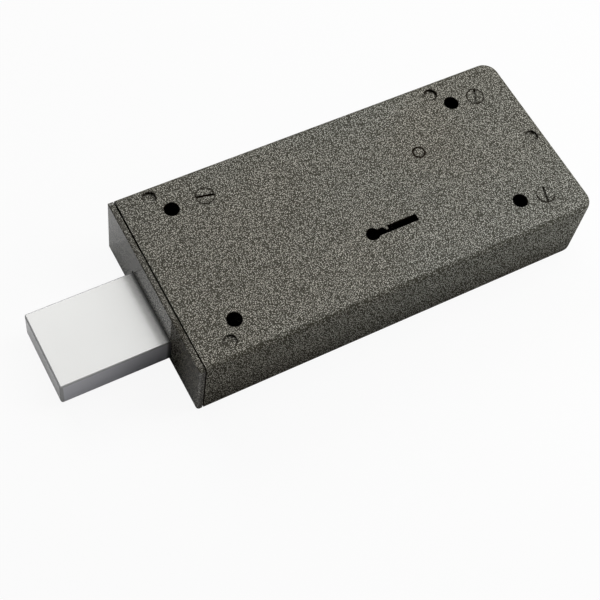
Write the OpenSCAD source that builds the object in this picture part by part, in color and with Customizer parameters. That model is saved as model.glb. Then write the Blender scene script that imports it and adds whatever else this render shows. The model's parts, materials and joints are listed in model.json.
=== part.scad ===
// Double-throw lever lock for a rolling shutter: steel case, flat bar bolt, eight levers.
// X runs along the bolt, which comes out at -X. Z runs from the back face to the keyhole face.
// The origin is the centre of the back face.

/* [Case] */
// Length of the case, forend face to closed end
case_l = 166; // [160:1:190]
// Height of the case, across the bolt
case_w = 76; // [70:1:90]
// Depth of the case, back face to keyhole face
case_d = 29; // [27:0.5:34]
// Thickness of the cover's sheet
sheet_t = 1.6; // [1.4:0.1:1.8]
// Thickness of the back plate
back_t = 1.2; // [1:0.1:1.5]
// Thickness of the forend plate
forend_t = 2.2; // [1.8:0.1:2.6]
// Radius of the cover's two upright corners
corner_r = 6; // [4:0.5:8]
// Radius of the fold along the cover's edges
fold_r = 2; // [1.9:0.1:2.5]
// Open joint between the cover and the forend at the near side
seam = 0.4; // [0.15:0.05:0.5]
// How much wider the joint is at the far side
seam_lean = 0.25; // [0:0.05:0.4]

/* [Bolt] */
// Width of the bolt's flat bar
bolt_w = 32; // [30:0.5:34]
// Thickness of the bolt's flat bar
bolt_t = 12; // [11:0.25:13]
// Distance that one turn of the key throws the bolt
throw = 21; // [19:0.5:22]
// Thickness of the tail plate
tail_t = 5; // [4:0.25:6]
// Rounding of the bar's long edges
bar_edge = 0.6; // [0.2:0.1:1]
// Radius of the two upright corners at the bar's end
bar_corner = 1.2; // [0.6:0.1:3]

/* [Key] */
// Distance of the key's axis from the levers' post, along the case
key_in = 34.4; // [33:0.2:36]
// Distance of the key's axis from the levers' post, across the case
key_down = 24.7; // [24:0.1:26]
// Radius that the key's bit reaches
bit_r = 18.3; // [17.5:0.1:19]
// Diameter of the hole for the key's stem
stem_d = 5.4; // [5:0.1:6]
// Width of the keyhole's slot for the bit
bit_slot = 3; // [2.6:0.1:3.4]

/* [Levers] */
// Diameter of the post in the levers
post_d = 6; // [5:0.25:6.5]
// Gap between one lever and the next
lever_gap = 0.2; // [0.1:0.05:0.3]
// Angle that a lever drops when the key leaves it
drop = 5; // [4:0.25:6]
// Height of the stump in the gates
stump_w = 4; // [3.5:0.25:4.5]
// Length of the stump along the bolt
stump_l = 5; // [4:0.25:6]

/* [Fixing] */
// Distance of the fixing holes from the forend's face
fix_front = 19.9; // [18:0.1:24]
// Distance of the fixing holes from the closed end
fix_close = 26.1; // [24:0.1:30]
// Distance of the fixing holes from the far side
fix_far = 12.4; // [11:0.1:14]
// Distance of the fixing holes from the near side
fix_near = 13.6; // [12:0.1:15]
// Diameter of the fixing holes
fix_d = 6; // [5:0.25:6.5]
// Diameter of a cover screw's head
head_d = 6.9; // [6.6:0.1:8]
// Diameter of a cover screw's shank
shank_d = 4; // [3.5:0.1:4.4]
// Diameter of a case post
stud_d = 5; // [4.8:0.1:5.8]
// Depth of the recess that a case post's tip is riveted in
recess_t = 0.9; // [0.3:0.1:1.2]

/* [Hidden] */
$fn = 64;

// Clearances: fixed pieces that fit together, turning fits, sliding faces, and pieces laid flat
fit = 0.05;
running = 0.08;
slide = 0.2;
lay = 0.1;
// Open cracks round the bolt in the forend, and round a screw head or the levers' post in the cover
bolt_crack = 0.55;
crack = 0.1;
// Width and depth of the chamfers and lands at the edges of those cracks
ease = 0.15;
// Overrun of a cut past the face that it opens
past = 1;

// Planes of the case
front_x = -case_l / 2;
close_x = case_l / 2;
behind_x = front_x + forend_t;
cover_x = behind_x + seam;
wall_y = case_w / 2 - sheet_t;
end_x = close_x - sheet_t;
face_z = case_d - sheet_t;

// Heights of the bolt's layers
travel = 2 * throw;
bolt_z = back_t + slide;
bolt_top = bolt_z + bolt_t;
tail_z = bolt_top - tail_t;
tail_top_y = bolt_w / 2;

// Levers' post: the drawn-in tail ends just short of the closed end, and its slot runs on the post
tail_gap = 1.1;
tail_wall = 2.2;
tail_rail = 2.4;
post_slot = post_d + 2 * lay;
post_x = end_x - tail_gap - travel - tail_wall - post_slot / 2;
post_y = tail_top_y - tail_rail - post_slot / 2;
tail_end = post_x + post_slot / 2 + tail_wall;
shoulder_d = 10;
post_foot_d = 5;
post_end_d = 4.2;

// Key's axis, and its ward in the slot's upper edge
key_x = post_x - key_in;
key_y = post_y - key_down;
slot_drop = 0.2;
slot_spare = 0.5;
ward_x = 4.75;
ward_l = 1.7;
ward_slope = 0.9;

// Fixing holes
fix_places = [for (x = [front_x + fix_front, close_x - fix_close])
    for (y = [case_w / 2 - fix_far, -case_w / 2 + fix_near]) [x, y]];

// Cover screws beside three of the fixing holes, each with the angle that its slot was left at
screw_step = [13.5, 10.4, 10.5];
screw_rise = [0.3, -1, -1.6];
screw_turn = [-12, 62, 74];
screw_holes = [fix_places[0], fix_places[2], fix_places[3]];
screw_places = [for (i = [0 : 2]) screw_holes[i] + [screw_step[i], screw_rise[i]]];
pillar_d = 8;
screw_l = 10;
tenon_d = 4;
slot_w = 0.9;
slot_t = 0.7;

// Case posts beside three of the fixing holes and at the closed end, held by screws from behind
stud_back = [5.2, 5, 5.5];
stud_rise = [7.8, -7, 6.8];
stud_holes = [fix_places[0], fix_places[1], fix_places[2]];
stud_end_in = 3.8;
stud_end_y = -0.7;
stud_places = concat([for (i = [0 : 2]) stud_holes[i] + [-stud_back[i], stud_rise[i]]],
    [[end_x - stud_end_in, stud_end_y]]);
stud_tip = 3.6;
back_screw_d = 3;
back_head_d = back_screw_d + 2 * back_t;
back_screw_l = 9;
back_screw_turn = 35;

// Talon: the key's bit sweeps a notch wider than itself and leaves it after one throw
notch_w = 6;
notch_r = 1;
notch_spare = 0.5;
half_chord = (throw + notch_w) / 2;
talon_y = key_y + sqrt(bit_r * bit_r - half_chord * half_chord);
notch_top = key_y + bit_r + notch_spare;
notch_x = key_x - half_chord;

// Tail: a step clears the post at the closed end, and a rebate in the head holds the other end
tail_stop = 3;
tail_chamfer = 2;
tail_step_x = key_x + half_chord + tail_stop;
tail_step_y = stud_end_y + stud_d / 2 + 1;
head_clear = 0.6;
head_in = key_x - bit_r - head_clear - travel;
rebate_l = 14;
rivet_d = 3.5;
rivet_edge = 4;
rivet_rows = [talon_y + rivet_edge, tail_top_y - rivet_edge];

// Heights of the levers' layers: the pack fills the room between two washers
levers = 8;
washer_t = 0.4;
spacer_t = 0.6;
washer_d = 13;
lever_z = bolt_top + washer_t + 2 * lay;
pack_top = face_z - spacer_t - 2 * lay;
pitch = (pack_top + lever_gap - lever_z) / levers;
lever_t = pitch - lever_gap;

// Stump at rest, and its distance from the post with the bolt drawn in
stump_in = 17;
stump_out = stump_in + travel;
stump_x = post_x - stump_out;
stump_foot = 3.4;
stump_fit = 0.3;
gate_h = stump_w + 2 * slide;

// Where the stump lies in a dropped lever, with the post at the origin and the stump r away
function dropped(r) = [-r * cos(drop), r * sin(drop)];

// Half size of the stump's room in a lever that is turned round it
half_l = (stump_l * cos(drop) + stump_w * sin(drop)) / 2 + stump_fit;
half_h = (stump_w * cos(drop) + stump_l * sin(drop)) / 2 + stump_fit;

// Lever outline: a plate with a rounded nose that narrows to an eye on the post
eye_wall = 4.5;
nose_wall = 6;
crown_wall = 4;
nose_r = 3;
foot_in = 8.6;
heel = 2;
heel_slope = 10;
nose_x = -stump_out - stump_l / 2 - nose_wall;
crown_y = dropped(stump_out)[1] + half_h + crown_wall;
foot_y = bit_r - foot_in - key_down;

// Key cuts: how far each lever is lifted, in steps of the bit's radius
bitting = [5, 2, 6, 3, 1, 5, 2, 4];
cut_full = 4.3;
cut_step = 0.35;

// Lever spring: a flat strip bent to one arc, from a slit in the lever to the case wall
strip_t = 0.35;
strip_inset = 0.2;
strip_span = 34;
strip_back = 7;
strip_root = 4.9;
strip_curl = 9;
root_x = post_x - strip_back;
root_y = post_y + strip_root;
strip_rise = wall_y - slide - root_y;
strip_r = (strip_span * strip_span + strip_rise * strip_rise) / (2 * strip_rise);
strip_cx = root_x - strip_span;
strip_cy = root_y + strip_rise - strip_r;

// Bridge over the bolt
bridge_t = 2;
bridge_l = 10;
bridge_in = 1.8;
bridge_x = behind_x + bridge_in;
bridge_tenon = 6;
leg_in = bolt_w / 2 + slide;
leg_out = leg_in + bridge_t;

// Forend: its upright and level edges, and its two lugs between the bridge and the walls
forend_edge = 1.2;
forend_rim = 0.5;
lug_l = 8.3;
lug_in = 2.8;
lug_out = 5.4;
lug_w = wall_y - leg_out - lug_in - lug_out;
lug_y = leg_out + lug_in + lug_w / 2;
lug_z = back_t + lay;
lug_fold = 1;
rivet_in = 5.3;
rivet_head_d = 5.6;
rivet_head_t = 1.4;
rivet_dome = 3.7;

// Upright profile with its two upper corners rounded
module arch(w, h, r) {
    union() {
        translate([-w / 2, 0]) square([w, h - r]);
        translate([-w / 2 + r, 0]) square([w - 2 * r, h]);
        for (s = [-1, 1]) translate([s * (w / 2 - r), h - r]) circle(r);
    }
}

// Half of that profile from a centre line out to one rounded corner
module half_arch(w, h, r) {
    union() {
        square([w, h - r]);
        square([w - r, h]);
        translate([w - r, h - r]) circle(r);
    }
}

// Rectangle with rounded corners, centred
module round_rect(l, w, r) {
    union() {
        square([l - 2 * r, w], center = true);
        square([l, w - 2 * r], center = true);
        for (sx = [-1, 1], sy = [-1, 1])
            translate([sx * (l / 2 - r), sy * (w / 2 - r)]) circle(r);
    }
}

// Profile drawn across the case, extruded along it from x0
module along(x0, l) {
    translate([x0, 0, 0]) rotate([90, 0, 90]) linear_extrude(l) children();
}

// Box from x0 to x1 standing on z0, with rounded upper edges and two upright corners at x1
module folded_box(x0, x1, w, z0, h, corner, fold) {
    flat = w / 2 - corner;
    translate([0, 0, z0]) {
        along(x0, x1 - corner - x0) arch(w, h, fold);
        translate([x1 - corner, flat, 0]) rotate([90, 0, 0])
            linear_extrude(2 * flat) half_arch(corner, h, fold);
        for (s = [0, 1]) mirror([0, s, 0]) translate([x1 - corner, flat, 0])
            rotate_extrude(angle = 90) half_arch(corner, h, fold);
    }
}

// Keyhole: a round hole for the stem, a slot for the bit and one ward in its upper edge
module keyhole_shape() {
    upper = bit_slot / 2 - slot_drop;
    union() {
        circle(d = stem_d);
        difference() {
            translate([0, upper - bit_slot]) square([bit_r + slot_spare, bit_slot]);
            polygon([[ward_x, upper + past], [ward_x, upper], [ward_x + ward_slope, -slot_drop],
                [ward_x + ward_l, -slot_drop], [ward_x + ward_l, upper + past]]);
        }
    }
}

// Countersunk form with its wide end at z and t deep
module sink(z, wide, narrow, t) {
    translate([0, 0, z - t]) cylinder(h = t, d1 = narrow, d2 = wide);
}

// Countersunk mouth t deep in the cover's face
module mouth(wide, narrow, t) {
    sink(case_d, wide, narrow, t);
    translate([0, 0, case_d - fit]) cylinder(h = past, d = wide);
}

// Puts children at each place of a list
module at_each(places) {
    for (p = places) translate([p[0], p[1], 0]) children();
}

// Puts children at the forend's two rivets
module at_lug_rivets() {
    for (s = [-1, 1]) translate([behind_x + rivet_in, s * lug_y, 0]) children();
}

// Puts children at the bridge's two legs
module at_legs() {
    for (s = [-1, 1]) translate([bridge_x + bridge_l / 2, s * (leg_in + bridge_t / 2), 0]) children();
}

module cover() {
    color([0.40, 0.39, 0.36]) difference() {
        folded_box(cover_x, close_x, case_w, 0, case_d, corner_r, fold_r);
        folded_box(cover_x - past, end_x, 2 * wall_y, -past, face_z + past,
            corner_r - sheet_t, fold_r - sheet_t);
        translate([0, 0, -past]) linear_extrude(case_d + 2 * past)
            polygon([[cover_x - past, -case_w / 2], [cover_x, -case_w / 2],
                [cover_x + seam_lean, case_w / 2], [cover_x + seam_lean, case_w],
                [cover_x - past, case_w]]);
        at_each(fix_places) translate([0, 0, face_z - past])
            cylinder(h = sheet_t + 2 * past, d = fix_d);
        translate([key_x, key_y, face_z - past])
            linear_extrude(sheet_t + 2 * past) keyhole_shape();
        at_each(screw_places) {
            mouth(head_d + 2 * crack + 2 * ease, shank_d + 2 * crack, sheet_t);
            translate([0, 0, face_z - past]) cylinder(h = past + fit, d = shank_d + 2 * crack);
        }
        at_each(stud_places) {
            translate([0, 0, face_z - past]) cylinder(h = 2 * past + sheet_t, d = stud_tip + 2 * fit);
            translate([0, 0, case_d - recess_t]) cylinder(h = recess_t + past, d = stud_d);
        }
        at_each([[post_x, post_y]]) {
            translate([0, 0, face_z - past]) cylinder(h = sheet_t + past, d = post_end_d + 2 * crack);
            mouth(post_end_d + 2 * crack + 2 * ease, post_end_d + 2 * crack, ease);
        }
    }
}

module back_plate() {
    x0 = behind_x + lay;
    x1 = end_x - lay;
    r = corner_r - sheet_t - lay;
    w = wall_y - lay;
    through = back_t + 2 * past;
    color([0.42, 0.41, 0.39]) difference() {
        union() {
            translate([x0, -w, 0]) cube([x1 - r - x0, 2 * w, back_t]);
            translate([x0, -w + r, 0]) cube([x1 - x0, 2 * (w - r), back_t]);
            for (s = [-1, 1]) translate([x1 - r, s * (w - r), 0]) cylinder(h = back_t, r = r);
        }
        translate([0, 0, -past]) {
            at_each(fix_places) cylinder(h = through, d = fix_d);
            at_each([[key_x, key_y]]) cylinder(h = through, d = stem_d);
            at_each(screw_places) cylinder(h = through, d = tenon_d + 2 * fit);
            at_each([[post_x, post_y]]) cylinder(h = through, d = post_foot_d + 2 * fit);
            at_each(stud_places) cylinder(h = past + fit, d = back_head_d + 2 * fit);
            at_each(stud_places) cylinder(h = through, d = back_screw_d + 2 * fit);
            at_lug_rivets() cylinder(h = through, d = rivet_d + 2 * fit);
        }
        at_each(stud_places)
            cylinder(h = back_t, d1 = back_head_d + 2 * fit, d2 = back_screw_d + 2 * fit);
        at_legs() cube([bridge_tenon + 2 * fit, bridge_t + 2 * fit, 2 * through], center = true);
    }
}

module forend_plate() {
    color([0.38, 0.37, 0.36]) difference() {
        union() {
            intersection() {
                along(front_x, forend_t) arch(case_w, case_d, fold_r);
                translate([front_x + forend_t / 2, case_w / 2, case_d / 2]) rotate([90, 0, 0])
                    linear_extrude(case_w) round_rect(forend_t, case_d, forend_rim);
                translate([behind_x, 0, 0]) rotate([0, 0, 90])
                    linear_extrude(case_d) arch(case_w, forend_t, forend_edge);
            }
            for (s = [-1, 1]) translate([behind_x, s * lug_y - lug_w / 2, 0]) {
                translate([-forend_t / 2, 0, lug_z]) cube([lug_l + forend_t / 2, lug_w, forend_t]);
                translate([-lug_fold, 0, lug_z + forend_t - lug_fold]) difference() {
                    cube([2 * lug_fold, lug_w, 2 * lug_fold]);
                    translate([2 * lug_fold, -past, 2 * lug_fold]) rotate([-90, 0, 0])
                        cylinder(h = lug_w + 2 * past, r = lug_fold);
                }
            }
        }
        translate([0, 0, bolt_z + bolt_t / 2]) along(front_x - past, forend_t + 2 * past)
            round_rect(bolt_w + 2 * bolt_crack, bolt_t + 2 * bolt_crack, bar_edge);
        at_lug_rivets() cylinder(h = lug_z + forend_t + past, d = rivet_d + 2 * fit);
    }
}

module forend_rivets() {
    top = lug_z + forend_t;
    color([0.6, 0.6, 0.6]) at_lug_rivets() {
        cylinder(h = top + fit, d = rivet_d);
        translate([0, 0, top]) rotate_extrude() intersection() {
            translate([0, rivet_head_t - rivet_dome]) circle(rivet_dome);
            square([rivet_head_d / 2, rivet_head_t]);
        }
    }
}

module bolt_bridge() {
    top = bolt_top + slide;
    color([0.62, 0.62, 0.60]) union() {
        difference() {
            translate([0, 0, back_t]) along(bridge_x, bridge_l)
                arch(2 * leg_out, top + bridge_t - back_t, bridge_t);
            translate([bridge_x - past, -leg_in, 0]) cube([bridge_l + 2 * past, 2 * leg_in, top]);
        }
        at_legs() translate([-bridge_tenon / 2, -bridge_t / 2, 0])
            cube([bridge_tenon, bridge_t, 2 * back_t]);
    }
}

module cover_pillars() {
    color([0.65, 0.65, 0.63]) at_each(screw_places) difference() {
        union() {
            cylinder(h = 2 * back_t, d = tenon_d);
            translate([0, 0, back_t]) cylinder(h = face_z - back_t, d = pillar_d);
        }
        translate([0, 0, face_z - screw_l]) cylinder(h = screw_l + past, d = shank_d + 2 * fit);
    }
}

module cover_screws() {
    color([0.42, 0.41, 0.38]) for (i = [0 : 2]) at_each([screw_places[i]]) difference() {
        union() {
            translate([0, 0, case_d - ease]) cylinder(h = ease, d = head_d);
            sink(case_d - ease, head_d, shank_d, sheet_t - ease);
            translate([0, 0, face_z - screw_l + past]) cylinder(h = screw_l, d = shank_d);
        }
        translate([0, 0, case_d]) rotate([0, 0, screw_turn[i]])
            cube([2 * head_d, slot_w, 2 * slot_t], center = true);
    }
}

module case_posts() {
    color([0.55, 0.55, 0.53]) at_each(stud_places) difference() {
        union() {
            translate([0, 0, back_t + fit]) cylinder(h = face_z - back_t - 2 * fit, d = stud_d);
            translate([0, 0, face_z - past]) cylinder(h = past + sheet_t - recess_t, d = stud_tip);
        }
        cylinder(h = back_t + back_screw_l, d = back_screw_d + 2 * fit);
    }
}

module back_screws() {
    color([0.62, 0.62, 0.62]) at_each(stud_places) difference() {
        union() {
            cylinder(h = back_t, d1 = back_head_d, d2 = back_screw_d);
            cylinder(h = back_screw_l, d = back_screw_d);
        }
        rotate([0, 0, back_screw_turn]) cube([2 * back_head_d, slot_w, slot_t], center = true);
    }
}

module lever_post() {
    color([0.68, 0.68, 0.66]) translate([post_x, post_y, 0]) {
        cylinder(h = 2 * back_t, d = post_foot_d);
        translate([0, 0, back_t]) cylinder(h = tail_z - slide - back_t, d = shoulder_d);
        translate([0, 0, back_t]) cylinder(h = face_z - back_t, d = post_d);
        translate([0, 0, face_z - past]) cylinder(h = past + sheet_t - ease, d = post_end_d);
        translate([0, 0, case_d - ease]) cylinder(h = ease, d1 = post_end_d, d2 = post_end_d - 2 * ease);
    }
}

// Ring on the lever post
module post_ring(z, t) {
    translate([post_x, post_y, z]) difference() {
        cylinder(h = t, d = washer_d);
        translate([0, 0, -past]) cylinder(h = t + 2 * past, d = post_d + 2 * running);
    }
}

module lower_washer() {
    color([0.72, 0.62, 0.35]) post_ring(bolt_top + lay, washer_t);
}

module upper_washer() {
    color([0.72, 0.62, 0.35]) post_ring(pack_top + lay, spacer_t);
}

module bolt_head() {
    l = head_in - (front_x - travel);
    color([0.80, 0.80, 0.79]) difference() {
        intersection() {
            translate([0, 0, bolt_z + bolt_t / 2]) along(front_x - travel, l)
                round_rect(bolt_w, bolt_t, bar_edge);
            translate([head_in, 0, bolt_z]) rotate([0, 0, 90])
                linear_extrude(bolt_t) arch(bolt_w, l, bar_corner);
            translate([head_in, -bolt_w / 2, bolt_z + bolt_t / 2]) rotate([-90, -90, 0])
                linear_extrude(bolt_w) mirror([0, 1]) arch(bolt_t, l, bar_edge);
        }
        translate([head_in - rebate_l, talon_y - fit, tail_z]) cube([rebate_l + past, bolt_w, bolt_t]);
        for (y = rivet_rows) translate([head_in - rebate_l / 2, y, bolt_z - past])
            cylinder(h = bolt_t + 2 * past, d = rivet_d + 2 * fit);
    }
}

module bolt_tail() {
    x0 = head_in - rebate_l + fit;
    through = tail_t + 2 * past;
    color([0.70, 0.70, 0.68]) translate([0, 0, tail_z]) difference() {
        linear_extrude(tail_t) polygon([[x0, talon_y], [tail_step_x, talon_y],
            [tail_step_x + tail_chamfer, tail_step_y], [tail_end, tail_step_y],
            [tail_end, tail_top_y - tail_chamfer], [tail_end - tail_chamfer, tail_top_y],
            [x0, tail_top_y]]);
        for (i = [0, 1]) translate([notch_x - i * throw, talon_y, -past])
            linear_extrude(through) talon_shape();
        translate([post_x, post_y, -past]) linear_extrude(through) union() {
            translate([-travel, 0]) circle(d = post_slot);
            circle(d = post_slot);
            translate([-travel, -post_slot / 2]) square([travel, post_slot]);
        }
        for (y = rivet_rows) translate([head_in - rebate_l / 2, y, -past])
            cylinder(h = through, d = rivet_d + 2 * fit);
        translate([stump_x, post_y, -past]) cylinder(h = through, d = stump_foot + 2 * fit);
    }
}

// One talon notch, from the tail's lower edge up to just past the key's reach
module talon_shape() {
    h = notch_top - talon_y;
    union() {
        translate([0, -past]) square([notch_w, h - notch_r + past]);
        translate([notch_r, 0]) square([notch_w - 2 * notch_r, h]);
        for (x = [notch_r, notch_w - notch_r]) translate([x, h - notch_r]) circle(notch_r);
    }
}

module tail_rivets() {
    color([0.66, 0.66, 0.64]) for (y = rivet_rows)
        translate([head_in - rebate_l / 2, y, bolt_z]) cylinder(h = bolt_t, d = rivet_d);
}

module bolt_stump() {
    color([0.70, 0.70, 0.68]) translate([stump_x, post_y, 0]) union() {
        translate([0, 0, tail_z]) cylinder(h = tail_t + fit, d = stump_foot);
        translate([-stump_l / 2, -stump_w / 2, bolt_top])
            cube([stump_l, stump_w, face_z - slide - bolt_top]);
    }
}

// Gate along the stump's path, with a pocket above each of its three resting places
module gate_shape() {
    union() {
        translate([-stump_out - stump_l / 2 - stump_fit, -gate_h / 2])
            square([travel + stump_l + 2 * stump_fit, gate_h]);
        for (i = [0 : 2]) {
            r = stump_in + i * throw;
            p = dropped(r);
            left = min(p[0] - half_l, -r - stump_l / 2 - stump_fit);
            translate([left, -gate_h / 2]) square([p[0] + half_l - left, gate_h / 2 + p[1] + half_h]);
        }
    }
}

// Lever outline, seen from the keyhole face, with its post at the origin
module lever_shape(cut_r) {
    eye_r = post_d / 2 + eye_wall;
    difference() {
        union() {
            circle(eye_r);
            polygon([[0, eye_r], [-key_in, crown_y], [nose_x + nose_r, crown_y],
                [nose_x, crown_y - nose_r], [nose_x, foot_y + nose_r], [nose_x + nose_r, foot_y],
                [-key_in + half_chord + heel, foot_y],
                [-key_in + half_chord + heel + heel_slope, -eye_r], [0, -eye_r]]);
            for (y = [crown_y - nose_r, foot_y + nose_r]) translate([nose_x + nose_r, y]) circle(nose_r);
        }
        circle(d = post_d + 2 * running);
        gate_shape();
        translate([-key_in, -key_down]) circle(cut_r);
    }
}

// Spring strip as a flat outline round the centre of its arc, grown by g on its faces
module strip_shape(g) {
    start = atan2(root_y - strip_cy, strip_span);
    reach = 2 * strip_r;
    intersection() {
        difference() {
            circle(strip_r + g, $fn = 256);
            circle(strip_r - strip_t - g, $fn = 256);
        }
        polygon([[0, 0], [reach * cos(start - g), reach * sin(start - g)],
            [reach * cos(90 + strip_curl), reach * sin(90 + strip_curl)]]);
    }
}

module lever(i) {
    cut_r = bit_r - cut_full + cut_step * bitting[i - 1];
    color([0.78, 0.66, 0.36]) translate([0, 0, lever_z + (i - 1) * pitch]) difference() {
        translate([post_x, post_y, 0]) linear_extrude(lever_t) lever_shape(cut_r);
        translate([strip_cx, strip_cy, -past]) linear_extrude(lever_t + 2 * past) strip_shape(fit);
    }
}

module lever_spring(i) {
    color([0.75, 0.75, 0.74]) translate([strip_cx, strip_cy, lever_z + (i - 1) * pitch + strip_inset])
        linear_extrude(lever_t - 2 * strip_inset) strip_shape(0);
}

cover();
back_plate();
forend_plate();
forend_rivets();
bolt_bridge();
cover_pillars();
cover_screws();
case_posts();
back_screws();
lever_post();
lower_washer();
upper_washer();
bolt_head();
bolt_tail();
tail_rivets();
bolt_stump();
lever(1);  // lever_1
lever(2);  // lever_2
lever(3);  // lever_3
lever(4);  // lever_4
lever(5);  // lever_5
lever(6);  // lever_6
lever(7);  // lever_7
lever(8);  // lever_8
lever_spring(1);  // lever_spring_1
lever_spring(2);  // lever_spring_2
lever_spring(3);  // lever_spring_3
lever_spring(4);  // lever_spring_4
lever_spring(5);  // lever_spring_5
lever_spring(6);  // lever_spring_6
lever_spring(7);  // lever_spring_7
lever_spring(8);  // lever_spring_8
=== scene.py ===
# Dresses the shutter lock: enamel, plating and brass, in the order in which the lock is put together.

import json
import math

import bmesh
import bpy
from mathutils import Matrix, Vector

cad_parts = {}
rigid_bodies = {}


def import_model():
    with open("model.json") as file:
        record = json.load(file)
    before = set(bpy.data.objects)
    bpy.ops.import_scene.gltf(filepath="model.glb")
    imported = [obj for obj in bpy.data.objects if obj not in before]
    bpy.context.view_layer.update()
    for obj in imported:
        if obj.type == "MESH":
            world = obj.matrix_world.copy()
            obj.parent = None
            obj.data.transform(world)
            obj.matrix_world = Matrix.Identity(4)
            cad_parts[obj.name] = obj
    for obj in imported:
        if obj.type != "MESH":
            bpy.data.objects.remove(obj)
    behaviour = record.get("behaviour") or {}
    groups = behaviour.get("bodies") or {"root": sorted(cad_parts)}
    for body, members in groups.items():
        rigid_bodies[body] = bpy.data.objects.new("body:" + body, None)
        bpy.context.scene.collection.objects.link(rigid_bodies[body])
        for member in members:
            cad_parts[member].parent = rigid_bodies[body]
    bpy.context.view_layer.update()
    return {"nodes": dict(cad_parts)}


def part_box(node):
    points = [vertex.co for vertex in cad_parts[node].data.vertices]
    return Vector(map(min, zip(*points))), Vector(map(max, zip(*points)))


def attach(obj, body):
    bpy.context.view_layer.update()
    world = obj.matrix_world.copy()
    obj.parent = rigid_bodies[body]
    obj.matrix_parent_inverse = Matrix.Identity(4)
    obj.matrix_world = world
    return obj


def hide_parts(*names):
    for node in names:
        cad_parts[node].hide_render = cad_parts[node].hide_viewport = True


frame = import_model()
nodes = frame["nodes"]


# Back plate: the flat steel plate that everything is built on, cut from 1.2 mm sheet.
# It has one thin coat of the case's enamel, so its flecks are fainter and its gloss is duller.
class Wire:
    """A shader or geometry socket that Python's operators work on: each adds the Math node it stands for."""

    def __init__(self, owner, socket):
        self.owner = owner
        self.socket = socket

    def __add__(self, other):
        return self.owner.math("ADD", self, other)

    def __sub__(self, other):
        return self.owner.math("SUBTRACT", self, other)

    def __rsub__(self, other):
        return self.owner.math("SUBTRACT", other, self)

    def __mul__(self, other):
        return self.owner.math("MULTIPLY", self, other)

    def __truediv__(self, other):
        return self.owner.math("DIVIDE", self, other)

    def __neg__(self):
        return self.owner.math("MULTIPLY", self, -1)

    def __abs__(self):
        return self.owner.math("ABSOLUTE", self)

    __radd__ = __add__
    __rmul__ = __mul__


class Graph:
    """A node tree: node() adds a node of a type, with its settings and its sockets' values or links."""

    def node(self, kind, settings=None, out=0, **sockets):
        made = self.tree.nodes.new(kind)
        for name, value in (settings or {}).items():
            setattr(made, name, value)
        for name, value in sockets.items():
            socket = self.find(made.inputs, name)
            if isinstance(value, Wire):
                self.tree.links.new(value.socket, socket)
            else:
                socket.default_value = value
        return Wire(self, made.outputs[out])

    def find(self, sockets, name):
        """The socket called name, with _ for a space, or input and its place in the list."""
        if name[:5] == "input":
            return sockets[int(name[5:])]
        return sockets[name.replace("_", " ")]

    def math(self, operation, *values):
        return self.node("ShaderNodeMath", {"operation": operation},
                         **{f"input{i}": v for i, v in enumerate(values)})

    def ramp(self, value, low, high):
        """0 below low, 1 above high and straight in between."""
        return self.node("ShaderNodeMapRange", Value=value, From_Min=low, From_Max=high)


class Finish(Graph):
    """A material: its numbers are written as sums on their sockets, and shine() ends it."""

    # What facing() gives from the last of a fold to a flat face, and a wider span for cut edges and ends
    squarely = (0.985, 0.998)
    loosely = (0.9, 0.99)

    def __init__(self, name):
        self.material = bpy.data.materials.new(name)
        self.material.use_nodes = True
        self.tree = self.material.node_tree
        self.tree.nodes.clear()
        self.place = self.node("ShaderNodeTexCoord", out=3)

    def step(self, value, low, high):
        """0 below low, 1 above high and smooth in between."""
        return self.node("ShaderNodeMapRange", {"interpolation_type": "SMOOTHSTEP"},
                         Value=value, From_Min=low, From_Max=high)

    def noise(self, scale, detail=2.0, place=None):
        return self.node("ShaderNodeTexNoise", Vector=place or self.place, Scale=scale, Detail=detail)

    def mix(self, factor, first, second, blend="MIX"):
        """A colour between two colours, each a wire or three numbers."""
        four = [c if isinstance(c, Wire) else (*c, 1) for c in (first, second)]
        return self.node("ShaderNodeMix", {"data_type": "RGBA", "blend_type": blend}, out=2,
                         input0=factor, input6=four[0], input7=four[1])

    def raised(self, height, depth):
        """The normal of a surface raised by height times depth in metres."""
        return self.node("ShaderNodeBump", Height=height, Distance=depth, Strength=1.0)

    def apart(self, centre):
        """The distance from the upright axis at centre."""
        level = self.node("ShaderNodeVectorMath", {"operation": "MULTIPLY"}, input0=self.place,
                          input1=(1, 1, 0))
        return self.node("ShaderNodeVectorMath", {"operation": "DISTANCE"}, out=1, input0=level,
                         input1=(centre[0], centre[1], 0))

    def along(self, axis):
        """The place along x, y or z (0, 1 or 2)."""
        return self.node("ShaderNodeSeparateXYZ", out=axis, Vector=self.place)

    def facing(self, axis):
        """How squarely the surface faces along x, y or z (0, 1 or 2), from 0 to 1."""
        normal = self.node("ShaderNodeTexCoord", out=1)
        return abs(self.node("ShaderNodeSeparateXYZ", out=axis, Vector=normal))

    def flat(self):
        """1 on flat faces and 0 on rounded folds and eased edges."""
        across = self.math("MAXIMUM", self.facing(0), self.facing(1))
        return self.step(self.math("MAXIMUM", across, self.facing(2)), *self.squarely)

    def close(self, shader):
        made = self.tree.nodes.new("ShaderNodeOutputMaterial")
        self.tree.links.new(shader.socket, made.inputs["Surface"])
        return self.material

    def shine(self, **sockets):
        return self.close(self.node("ShaderNodeBsdfPrincipled", **sockets))


def wear(material, *names):
    """Gives the material to these pieces."""
    for name in names:
        nodes[name].data.materials.clear()
        nodes[name].data.materials.append(material)


# The enamel is a dark ground with pale flecks, one to a cell, some fainter than others
enamel_ground = (0.0445, 0.0415, 0.031)
enamel_fleck = (0.614, 0.594, 0.540)
enamel_rough = 0.6
fleck_grain = 0.00048
fleck_stretch = 0.7
fleck_rim = (0.20, 0.48)
fleck_least = 0.4
fleck_spread = 1.3
fleck_mean = 0.3
fleck_height = 0.00002
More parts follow.
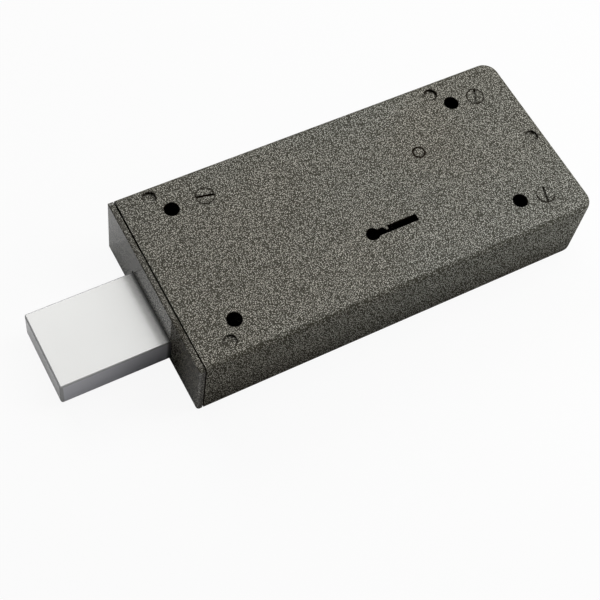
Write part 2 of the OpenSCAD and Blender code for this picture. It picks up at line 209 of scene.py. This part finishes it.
# The folds are darker with painted shade, with flecks that run into each other and less gloss
fold_shade_mean = 0.22
fold_contrast = 0.65
fold_gloss = 0.4
# The enamel's tint drifts a little from place to place
drift_scale = 16
drift_span = (0.35, 0.65)
drift_tints = ((1.0, 0.993, 0.945), (0.97, 1.0, 0.98))
# The colour of dirt in cracks, and of painted shade in recesses, holes, joints and slots
crease_dirt_and_shade = (0.010, 0.006, 0.003)

# Shift of the cells that lays the cover's face through the middle of one layer of them
cover_low, cover_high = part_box("cover")
face_layer = cover_high.z * fleck_stretch / fleck_grain
middles = (fleck_grain / 2, fleck_grain / 2, fleck_grain * (0.5 - face_layer % 1))


def hammered(name, coat=0.4, haze=0.3, walls=0.3, marks=(), faint=0.0, painted_shade=None):
    """Hammered enamel: pale flecks in a dark ground under a clear gloss, with dark dull dirt and painted
    shade at the marks.

    coat is the strength of the gloss and haze its roughness, walls is the share of it on the upright
    faces, faint is the share of the flecks that is lost, and the last argument is a mark of painted
    shade, where the gloss is gone and the enamel darker.
    """
    paint = Finish(name)
    drawn = paint.node("ShaderNodeMapping", Vector=paint.place, Scale=(1, 1, fleck_stretch),
                       Location=middles)
    cells = paint.node("ShaderNodeTexVoronoi", Vector=drawn, Scale=1 / fleck_grain, Randomness=0.9)
    lot = paint.node("ShaderNodeSeparateColor", Color=Wire(paint, cells.socket.node.outputs["Color"]))
    flecks = (1 - paint.step(cells, *fleck_rim)) * (fleck_least + fleck_spread * lot)
    # At the folds the flecks run together and darken, as painted shade
    shaded_fold_flecks = fold_shade_mean + fold_contrast * (flecks - fleck_mean)
    flecks = shaded_fold_flecks + paint.flat() * (flecks - shaded_fold_flecks)
    colour = paint.mix(flecks * (1 - faint), enamel_ground, enamel_fleck)
    drift = paint.step(paint.noise(drift_scale, detail=1.0), *drift_span)
    colour = paint.mix(1.0, colour, paint.mix(drift, *drift_tints), "MULTIPLY")
    rough = enamel_rough + 0.1 * flecks
    if walls < 1:
        coat = coat * (walls + (1 - walls) * paint.facing(2))
        coat = coat * (fold_gloss + (1 - fold_gloss) * paint.flat())
    if painted_shade:
        shade_share = painted_shade(paint)
        coat = coat * (1 - shade_share)
        colour = paint.mix(0.4 * shade_share, colour, crease_dirt_and_shade)
    # The marks darken the enamel with dirt and painted shade and take its gloss away
    if marks:
        dirt_and_shade = marks[0](paint)
        for mark in marks[1:]:
            dirt_and_shade = paint.math("MAXIMUM", dirt_and_shade, mark(paint))
        colour = paint.mix(dirt_and_shade, colour, crease_dirt_and_shade)
        rough = rough + 0.3 * dirt_and_shade
        coat = coat * (1 - dirt_and_shade)
    return paint.shine(Base_Color=colour, Roughness=rough, Normal=paint.raised(flecks, fleck_height),
                       Specular_IOR_Level=0.0, Coat_Weight=coat, Coat_Roughness=haze)


wear(hammered("back_enamel", coat=0.2, faint=0.25), "back_plate")


# Case posts: turned steel posts that stand on the back plate, with their tips riveted in the four
# recesses of the cover and painted over. A countersunk slotted screw holds each one from behind.
cloud_scale = 140
clouded = 0.9
mark_height = 0.000002


def metal(name, colour, rough, grain=900.0, stretch=(1.0, 1.0, 1.0)):
    """Bare or plated metal, slightly cloudy, with fine marks stretched along an axis."""
    plate = Finish(name)
    place = plate.node("ShaderNodeMapping", Vector=plate.place, Scale=stretch)
    fine = plate.noise(grain, place=place)
    dimmed = tuple(clouded * c for c in colour)
    shade = plate.mix(plate.noise(cloud_scale, detail=3.0), dimmed, colour)
    return plate.shine(Base_Color=shade, Metallic=1.0, Roughness=rough - 0.05 + 0.1 * fine,
                       Normal=plate.raised(fine, mark_height))


def solids(name):
    """The lowest and highest corners of each separate solid of a node, from -X to +X."""
    work = bmesh.new()
    work.from_mesh(nodes[name].data)
    bmesh.ops.remove_doubles(work, verts=work.verts, dist=1e-6)
    left = set(work.verts)
    found = []
    while left:
        group = [left.pop()]
        for vert in group:
            for edge in vert.link_edges:
                other = edge.other_vert(vert)
                if other in left:
                    left.remove(other)
                    group.append(other)
        low, high = (Vector([pick(v.co[axis] for v in group) for axis in range(3)]) for pick in (min, max))
        found.append((low, high))
    work.free()
    return sorted(found, key=lambda corners: corners[0][0])


class Form(Graph):
    """A Geometry Nodes tree with named inputs, run once into a plain mesh by build()."""

    kinds = {"Float": "NodeSocketFloat", "Material": "NodeSocketMaterial"}

    def __init__(self, name, **inputs):
        self.tree = bpy.data.node_groups.new(name, "GeometryNodeTree")
        self.tree.interface.new_socket("Geometry", in_out="INPUT", socket_type="NodeSocketGeometry")
        self.ids = {}
        for label, kind in inputs.items():
            made = self.tree.interface.new_socket(label, in_out="INPUT", socket_type=self.kinds[kind])
            self.ids[label] = made.identifier
        self.tree.interface.new_socket("Geometry", in_out="OUTPUT", socket_type="NodeSocketGeometry")
        group = self.tree.nodes.new("NodeGroupInput")
        self.given = Wire(self, group.outputs[0])
        self.size = {label: Wire(self, group.outputs[i + 1]) for i, label in enumerate(inputs)}

    def xyz(self, x, y, z):
        return self.node("ShaderNodeCombineXYZ", X=x, Y=y, Z=z)

    def close(self, shape, material):
        plain = self.node("GeometryNodeRealizeInstances", Geometry=shape)
        painted = self.node("GeometryNodeSetMaterial", Geometry=plain, Material=material)
        made = self.tree.nodes.new("NodeGroupOutput")
        self.tree.links.new(painted.socket, made.inputs[0])

    def build(self, name, points, turns, **values):
        """A new object: the tree run on one vertex for each point, with its turn in degrees."""
        seed = bpy.data.meshes.new(name + "_places")
        seed.from_pydata(points, [], [])
        turn = seed.attributes.new("turn", "FLOAT", "POINT")
        for i, degrees in enumerate(turns):
            turn.data[i].value = math.radians(degrees)
        carrier = bpy.data.objects.new(name + "_carrier", seed)
        bpy.context.scene.collection.objects.link(carrier)
        modifier = carrier.modifiers.new("form", "NODES")
        modifier.node_group = self.tree
        for label, value in values.items():
            modifier[self.ids[label]] = value
        ready = carrier.evaluated_get(bpy.context.evaluated_depsgraph_get())
        mesh = bpy.data.meshes.new_from_object(ready)
        carrier.modifiers.remove(modifier)
        bpy.data.objects.remove(carrier)
        mesh.name = name
        piece = bpy.data.objects.new(name, mesh)
        bpy.context.scene.collection.objects.link(piece)
        return piece


def slotted_screw():
    """A countersunk screw with a cut slot and a rolled thread, head up at the point, turned on a grid.

    The grid's rows run from the middle of the head out to its rim (row 1), down the rim's land (2) and
    the cone (3), and down the shank to the tip, which the last row closes.
    """
    form = Form("slotted_screw", head="Float", sink="Float", shank="Float", length="Float", pitch="Float",
                slot="Float", slot_depth="Float", flip="Float", finish="Material")
    size = form.size
    around, rows = 32, 72
    thread_start, thread_full, thread_depth = 5, 9, 0.7
    land = 0.00015
    grid = form.node("GeometryNodeMeshGrid", Size_X=1.0, Size_Y=1.0, Vertices_X=around + 1,
                     Vertices_Y=rows + 1)
    spot = form.node("GeometryNodeInputPosition")
    angle = (form.node("ShaderNodeSeparateXYZ", out=0, Vector=spot) + 0.5) * (2 * math.pi)
    row = (form.node("ShaderNodeSeparateXYZ", out=1, Vector=spot) + 0.5) * rows
    down = form.ramp(row, 1, 2) * land + form.ramp(row, 2, 3) * (size["sink"] - land)
    down = down + form.ramp(row, 3, rows - 1) * (size["length"] - size["sink"])
    wave = abs(form.math("FRACT", down / size["pitch"] + angle / (2 * math.pi)) - 0.5)
    groove = form.ramp(row, thread_start, thread_full) * (wave * size["pitch"] * thread_depth)
    radius = size["head"] - form.ramp(row, 2, 3) * (size["head"] - size["shank"]) - groove
    radius = radius * form.ramp(row, 0, 1) * (1 - form.ramp(row, rows - 1, rows))
    place = form.xyz(radius * form.math("COSINE", angle), radius * form.math("SINE", angle), -down)
    lathe = form.node("GeometryNodeSetPosition", Geometry=grid, Position=place)
    lathe = form.node("GeometryNodeFlipFaces", Mesh=lathe)
    lathe = form.node("GeometryNodeMergeByDistance", Geometry=lathe, Distance=1e-6)
    cutter = form.node("GeometryNodeMeshCube", Size=form.xyz(size["head"] * 3, size["slot"],
                                                             size["slot_depth"] * 2))
    cut = form.node("GeometryNodeMeshBoolean", {"operation": "DIFFERENCE"}, Mesh_1=lathe, Mesh_2=cutter)
    turn = form.node("GeometryNodeInputNamedAttribute", {"data_type": "FLOAT"}, Name="turn")
    stand = form.node("FunctionNodeEulerToRotation", Euler=form.xyz(size["flip"], 0.0, turn))
    form.close(form.node("GeometryNodeInstanceOnPoints", Points=form.given, Instance=cut, Rotation=stand),
               size["finish"])
    return form


def screws_for(name, node, slot_name, turns, heads_down, **sizes):
    """Slotted screws in the place of a node's own plain ones, with their heads at its low or high side."""
    found = solids(node)
    points = [(*((low + high) / 2).xy, (low if heads_down else high).z) for low, high in found]
    low, high = found[0]
    piece = screw.build(name, points, turns, head=(high.x - low.x) / 2, length=high.z - low.z,
                        flip=math.pi if heads_down else 0.0, **sizes)
    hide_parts(node)
    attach(piece, "case")


screw = slotted_screw()
zinc = metal("zinc_plate", (0.62, 0.62, 0.60), 0.34)
wear(hammered("post_enamel"), "case_posts")
screws_for("slotted_back_screws", "back_screws", "plated_steel", turns=(35, 62, 18, 77), heads_down=True,
           finish=zinc, sink=0.0012, shank=0.0015, pitch=0.0005, slot=0.0008, slot_depth=0.0005)


# Cover pillars and bolt bridge: the pillars take the cover's screws, and the bridge holds the bolt
# down behind the forend. Both are of zinc-plated steel, riveted through the back plate.
wear(zinc, "cover_pillars", "bolt_bridge")


# Forend: the thick steel plate that the bolt comes out through, in the same enamel, laid on smoother.
# Two rivets hold its lugs to the back plate.
# Painted shade on the forend beside the bolt, on the near side of its slot
slot_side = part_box("bolt_head")[0].y
shaded_from = slot_side - 0.016
shaded_most = slot_side - 0.003
shaded_to = slot_side + 0.001
shade_strength = 0.85
level_darkening = 0.3
upright_darkening = 0.5


def shade_beside_bolt(paint):
    """A mark for hammered(): painted shade, dark and without gloss, on the near side of the bolt's slot."""
    shaded = shade_strength * paint.step(paint.along(1), shaded_from, shaded_most)
    return shaded * (1 - paint.step(paint.along(1), slot_side, shaded_to))


def sheared_edges(paint):
    """A mark for hammered(): the plate's narrow faces made darker and less glossy, the near and far sides
    more than the top and bottom.
    """
    level = paint.step(paint.facing(2), *paint.loosely)
    upright = paint.step(paint.facing(1), *paint.loosely)
    return level_darkening * level + upright_darkening * upright


wear(hammered("forend_enamel", coat=1.0, haze=0.12, walls=1.0, marks=[sheared_edges], painted_shade=shade_beside_bolt),
     "forend_plate")
wear(metal("rivet_steel", (0.60, 0.60, 0.58), 0.4), "forend_rivets", "tail_rivets")


# Bolt head: a 32 x 12 mm flat bar with satin nickel plate, ground along its length. Its narrow sides
# and eased edges are duller than the broad faces. The sides' colour holds a painted bluish shade, the
# end's a painted highlight and the eased edges' a painted shade, and a band of painted shade lies across it
# at the forend.
shaded_side_colour = (0.72, 0.72, 0.76)
lit_end_colour = (0.97, 0.97, 0.97)
broad_colour = (0.86, 0.86, 0.845)
shaded_edge_colour = (0.5, 0.5, 0.5)
cloud_colour = (0.3, 0.3, 0.3)
forend_shade_colour = (0.03, 0.03, 0.027)
forend_shade_reach = (0.0003, 0.0018)
ground_grain = 2600
ground_stretch = (0.05, 1.0, 1.0)
side_rough = 0.5
broad_rough = 0.2
nickel = Finish("satin_nickel")
broad = nickel.step(nickel.facing(2), *nickel.squarely)
at_end = nickel.step(nickel.facing(0), *nickel.loosely)
eased = 1 - nickel.flat()
drawn_out = nickel.node("ShaderNodeMapping", Vector=nickel.place, Scale=ground_stretch)
ground_marks = nickel.noise(ground_grain, place=drawn_out)
plate_colour = nickel.mix(broad, nickel.mix(at_end, shaded_side_colour, lit_end_colour), broad_colour)
plate_colour = nickel.mix(0.05 * nickel.noise(cloud_scale, detail=3.0), plate_colour, cloud_colour)
plate_colour = nickel.mix(eased, plate_colour, shaded_edge_colour)
forend_shade = 1 - nickel.step(abs(nickel.along(0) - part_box("forend_plate")[0].x), *forend_shade_reach)
plate_colour = nickel.mix(0.8 * forend_shade, plate_colour, forend_shade_colour)
plate_rough = side_rough - (side_rough - broad_rough) * broad + 0.06 * ground_marks
wear(nickel.shine(Base_Color=plate_colour, Metallic=0.74 - 0.64 * eased, Roughness=plate_rough,
                  Normal=nickel.raised(ground_marks, mark_height)), "bolt_head")


# Bolt tail and stump: the stamped plate that carries the talon and runs on the levers' post,
# with the stump that the levers' gates let through.
wear(metal("tail_zinc", (0.66, 0.66, 0.64), 0.36), "bolt_tail", "bolt_stump")


# Levers' post: turned steel, riveted in the back plate. Its upper end shows in the cover, painted
# over, with dirt in the crack round it.
def around_axis(centre, radius, width, strength=1.0, side=None):
    """A mark for hammered(): a dark ring of that radius round an upright axis, or on one side of it: dirt in
    a crack, or painted shade on a recess's wall.
    """
    def mark(paint):
        crack = 1 - paint.step(abs(paint.apart(centre) - radius), 0.4 * width, width)
        uneven = 0.75 + 0.4 * paint.noise(900, detail=1.0)
        crack = strength * crack * uneven
        if side:
            over = side[0] * (paint.along(0) - centre[0]) + side[1] * (paint.along(1) - centre[1])
            crack = crack * paint.step(over, -0.4 * radius, 0.4 * radius)
        return paint.math("MINIMUM", crack, 1.0)
    return mark


post_low, post_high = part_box("lever_post")
post_end = 0.0023
post_crack = 0.0006
post_ring = around_axis((post_low + post_high) / 2, post_end, post_crack)
wear(hammered("post_end_enamel", marks=[post_ring]), "lever_post")


# Levers and washers: eight levers stamped from rolled brass sheet, between two brass washers on one
# post. The marks of rolling run along the lock.
brass = metal("rolled_brass", (0.72, 0.52, 0.22), 0.32, 2200.0, (0.08, 1.0, 1.0))
wear(brass, "lower_washer", "upper_washer", *[f"lever_{i}" for i in range(1, 9)])


# Lever springs: bright strips of spring steel, each set in a slit of its lever and bent against the
# case's wall.
wear(metal("spring_steel", (0.70, 0.70, 0.69), 0.25), *[f"lever_spring_{i}" for i in range(1, 9)])


# Cover: deep box of 1.6 mm sheet with rounded folds, in olive-grey hammered enamel. Dirt has settled
# in the cracks round the screws and the post's end. Painted shade darkens the recesses over the case
# posts, the walls inside the holes and the keyhole, the cover's edge beside the forend and the foot of the
# walls.
screw_corners = solids("cover_screws")
screw_axes = [(low + high) / 2 for low, high in screw_corners]
screw_head = (screw_corners[0][1].x - screw_corners[0][0].x) / 2
screw_crack = 0.00045
screw_dirt = (0.75, 0.75, 0.9)
screw_sides = (None, None, (-0.4, -0.9))
post_corners = solids("case_posts")
recess_axes = [(low + high) / 2 for low, high in post_corners]
recess_wall = (post_corners[0][1].x - post_corners[0][0].x) / 2
recess_crack = 0.0004
recess_shade = (0.7, 0.4, 0.9, 0.55)
inside_folds = (cover_high.x - 0.004, cover_high.y - 0.0035)
foot_height = 0.018
foot_shade = 0.4


def wall_feet_shade(paint):
    """A mark for hammered(): painted shade that deepens towards the foot of the long walls and the closed
    end.
    """
    return foot_shade * (1 - paint.step(paint.along(2), 0.0, foot_height)) * (1 - paint.facing(2))


def seam_shade(paint):
    """A mark for hammered(): painted shade on the cover's own edge, in the joint beside the forend."""
    return paint.step(cover_low.x - paint.along(0), -0.0001, 0.0)


def shade_in_holes(paint):
    """A mark for hammered(): painted shade on the walls inside the holes and the keyhole, but not on the
    recesses' walls.
    """
    walls = 1 - paint.step(paint.along(2), cover_high.z - 0.0005, cover_high.z - 0.0002)
    for axis, reach in enumerate(inside_folds):
        walls = walls * paint.step(reach - abs(paint.along(axis)), 0.0, 0.0005)
    for centre in recess_axes:
        walls = walls * paint.step(paint.apart(centre), recess_wall + 0.0001, recess_wall + 0.0004)
    return walls


screw_rings = [around_axis(axis, screw_head, screw_crack, strength, side)
               for axis, strength, side in zip(screw_axes, screw_dirt, screw_sides)]
# Painted shade on the recesses' walls, stronger in some recesses than in others
recess_rings = [around_axis(axis, recess_wall, recess_crack, strength)
                for axis, strength in zip(recess_axes, recess_shade)]
wear(hammered("cover_enamel", marks=[*screw_rings, *recess_rings, post_ring, seam_shade, shade_in_holes, wall_feet_shade]),
     "cover")


# Cover screws: three countersunk M4 screws with the slots left as they were turned home, painted over
# with the case. The paint has run into two of the slots.
slots_filled = (0, 0.6, 0.35)
head_reach = (0.003, 0.004)


def slot_shade(paint):
    """A mark for hammered(): painted shade in the slots, less where the paint has filled them."""
    dirt_and_shade = 1 - paint.step(paint.along(2), cover_high.z - 0.0002, cover_high.z - 0.0001)
    for axis, filled in zip(screw_axes, slots_filled):
        if filled:
            dirt_and_shade = dirt_and_shade * (1 - filled * (1 - paint.step(paint.apart(axis), *head_reach)))
    return dirt_and_shade


screws_for("slotted_cover_screws", "cover_screws", "hammer_paint", turns=(-12, 62, 74), heads_down=False,
           finish=hammered("screw_enamel", marks=[slot_shade, *screw_rings]),
           sink=0.0016, shank=0.002, pitch=0.0007, slot=0.0009, slot_depth=0.0007)


# Floor: a plain pale table that the lock lies on. It lights the lock as a matt pale surface does,
# and the camera sees it nearly as an even white.
floor_size = 24.0
floor_level = -0.0001
evenness = 0.92
floor_mesh = bpy.data.meshes.new("floor")
half = floor_size / 2
corners = [(x, y, floor_level) for x, y in ((-half, -half), (half, -half), (half, half), (-half, half))]
floor_mesh.from_pydata(corners, [], [(0, 1, 2, 3)])
floor = bpy.data.objects.new("floor", floor_mesh)
bpy.context.scene.collection.objects.link(floor)
table = Finish("pale_table")
cloudy = table.noise(6.0)
matt = table.node("ShaderNodeBsdfDiffuse", Color=table.mix(cloudy, (0.80, 0.80, 0.80), (0.82, 0.82, 0.82)))
glow = table.node("ShaderNodeEmission", Color=(1, 1, 1, 1), Strength=1.0)
seen = table.node("ShaderNodeLightPath", out=0)
table.close(table.node("ShaderNodeMixShader", input0=evenness * seen, input1=matt, input2=glow))
floor_mesh.materials.append(table.material)


# Light: one large soft box overhead and beyond the lock, two past its closed end, one past its far
# side, and a small one close to the near corner of the closed end, in a dim pale room.
middle_height = 0.014
near_corner = (cover_high.x, cover_low.y, middle_height)


def soft_box(name, towards, distance, size, radiance, target=(0, 0, middle_height)):
    """A square light of the given size that faces the target from the direction towards."""
    outward = Vector(towards).normalized()
    lamp = bpy.data.lights.new(name, "AREA")
    lamp.shape = "SQUARE"
    lamp.size = size
    lamp.energy = radiance * math.pi * size * size
    box = bpy.data.objects.new(name, lamp)
    box.location = Vector(target) + distance * outward
    box.rotation_mode = "QUATERNION"
    box.rotation_quaternion = outward.to_track_quat("Z", "Y")
    box.visible_camera = False
    bpy.context.scene.collection.objects.link(box)


soft_box("overhead_box", (0.315, 0.407, 0.857), distance=0.9, size=1.1, radiance=0.88)
soft_box("end_box", (0.780, -0.24, 0.574), distance=0.7, size=0.33, radiance=4.8)
soft_box("end_top_box", (0.5, 0.0, 0.866), distance=0.7, size=0.33, radiance=3.4)
soft_box("near_box", (0.54, -0.76, 0.35), distance=0.16, size=0.06, radiance=4.2, target=near_corner)
soft_box("far_box", (0.0, 0.819, 0.574), distance=1.8, size=0.83, radiance=5.0)
room = bpy.data.worlds.new("pale_room")
room.use_nodes = True
room.node_tree.nodes["Background"].inputs["Color"].default_value = (1, 1, 1, 1)
room.node_tree.nodes["Background"].inputs["Strength"].default_value = 0.05
bpy.context.scene.world = room
bpy.context.scene.view_settings.view_transform = "Standard"


# Camera: a long lens above the lock's near side, as the lock was photographed. Its place and turn are
# those at which the case's corners and the bolt's edges lie as in the photograph.
lens = bpy.data.cameras.new("camera")
lens.lens = 80.575
lens.sensor_width = 36
camera = bpy.data.objects.new("camera", lens)
right = Vector((0.87539, -0.471818, 0.105264))
up = Vector((0.365246, 0.788175, 0.495353))
back = Vector((-0.316683, -0.395179, 0.86229))
lens_place = Vector((-0.187839, -0.21328, 0.434956))
camera.matrix_world = Matrix.Translation(lens_place) @ Matrix((right, up, back)).transposed().to_4x4()
bpy.context.scene.collection.objects.link(camera)
bpy.context.scene.camera = camera
